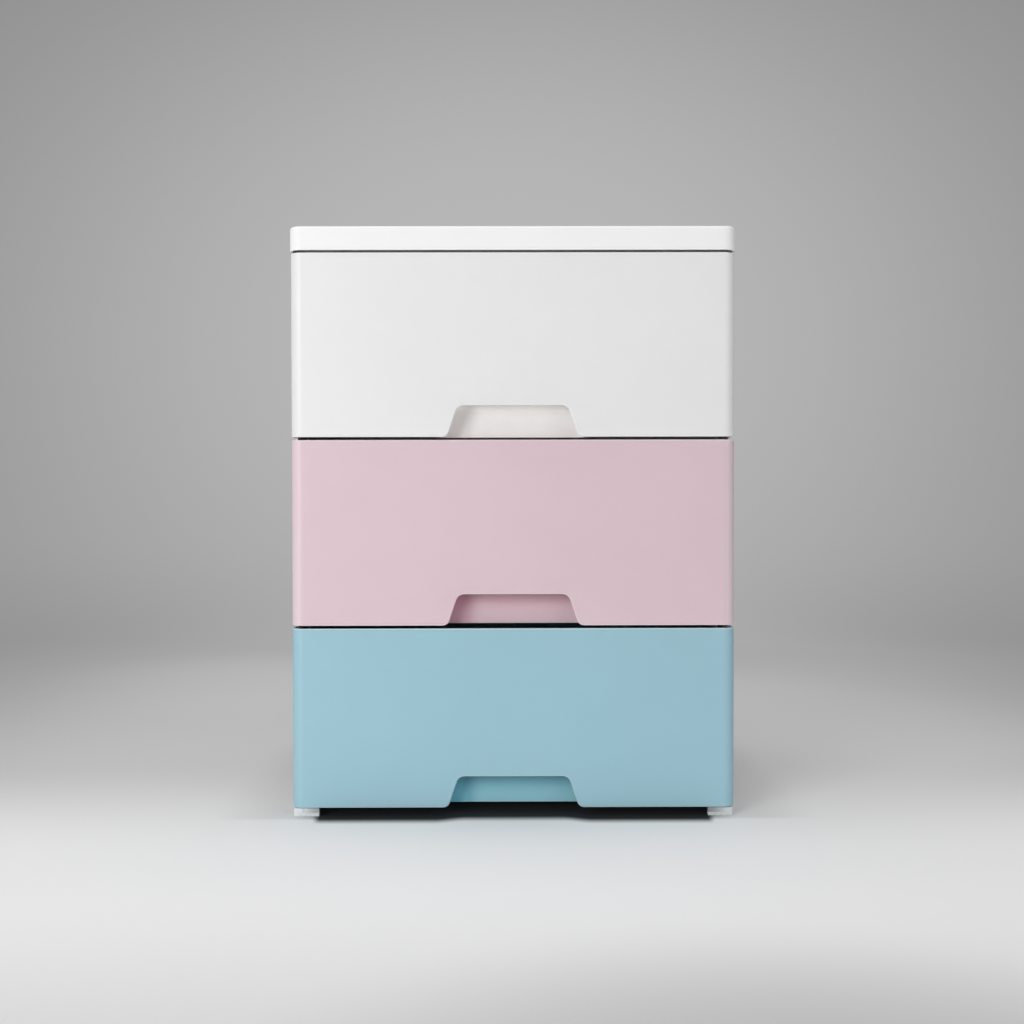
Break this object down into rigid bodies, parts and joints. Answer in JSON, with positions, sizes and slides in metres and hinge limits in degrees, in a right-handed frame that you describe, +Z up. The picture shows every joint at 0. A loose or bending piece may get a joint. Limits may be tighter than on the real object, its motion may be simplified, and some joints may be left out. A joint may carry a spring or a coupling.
{
  "type": "plastic drawer tower",
  "caption": "Free-standing plastic drawer tower: full-width drawers with a cut-out finger pull slide on moulded runners in a carcass of plug-in panels, under a clip-on cover.",
  "frame": {"origin": "on the floor, below the middle of the tower", "axes": "+Z up, -Y towards the drawer fronts, +X to the right as the fronts are faced"},
  "size_m": [0.4212, 0.3362, 0.5568],
  "materials": {
    "carcass_white": "satin moulded",
    "foot_white": "satin moulded",
    "front_white": "satin moulded",
    "tub_white": "satin moulded",
    "front_pink": "satin moulded",
    "tub_pink": "satin moulded",
    "front_blue": "satin moulded",
    "tub_blue": "satin moulded"
  },
  "bodies": {
    "carcass": {"top_cover": "carcass_white", "top_deck": "carcass_white", "base_frame": "carcass_white", "lower_divider": "carcass_white", "upper_divider": "carcass_white", "foot_front_left": "foot_white", "foot_rear_left": "foot_white", "foot_front_right": "foot_white", "foot_rear_right": "foot_white", "back_panel_bottom": "carcass_white", "side_panel_bottom_left": "carcass_white", "side_panel_bottom_right": "carcass_white", "back_panel_middle": "carcass_white", "side_panel_middle_left": "carcass_white", "side_panel_middle_right": "carcass_white", "back_panel_top": "carcass_white", "side_panel_top_left": "carcass_white", "side_panel_top_right": "carcass_white"},
    "bottom_drawer": {"drawer_tub_bottom": "tub_blue", "drawer_front_bottom": "front_blue"},
    "middle_drawer": {"drawer_tub_middle": "tub_pink", "drawer_front_middle": "front_pink"},
    "top_drawer": {"drawer_tub_top": "tub_white", "drawer_front_top": "front_white"}
  },
  "joints": [
    {"name": "bottom_drawer_slide", "type": "slide", "parent": "carcass", "child": "bottom_drawer", "axis": [0, -1, 0], "range_m": [0, 0.24]},
    {"name": "middle_drawer_slide", "type": "slide", "parent": "carcass", "child": "middle_drawer", "axis": [0, -1, 0], "range_m": [0, 0.24]},
    {"name": "top_drawer_slide", "type": "slide", "parent": "carcass", "child": "top_drawer", "axis": [0, -1, 0], "range_m": [0, 0.24]}
  ]
}
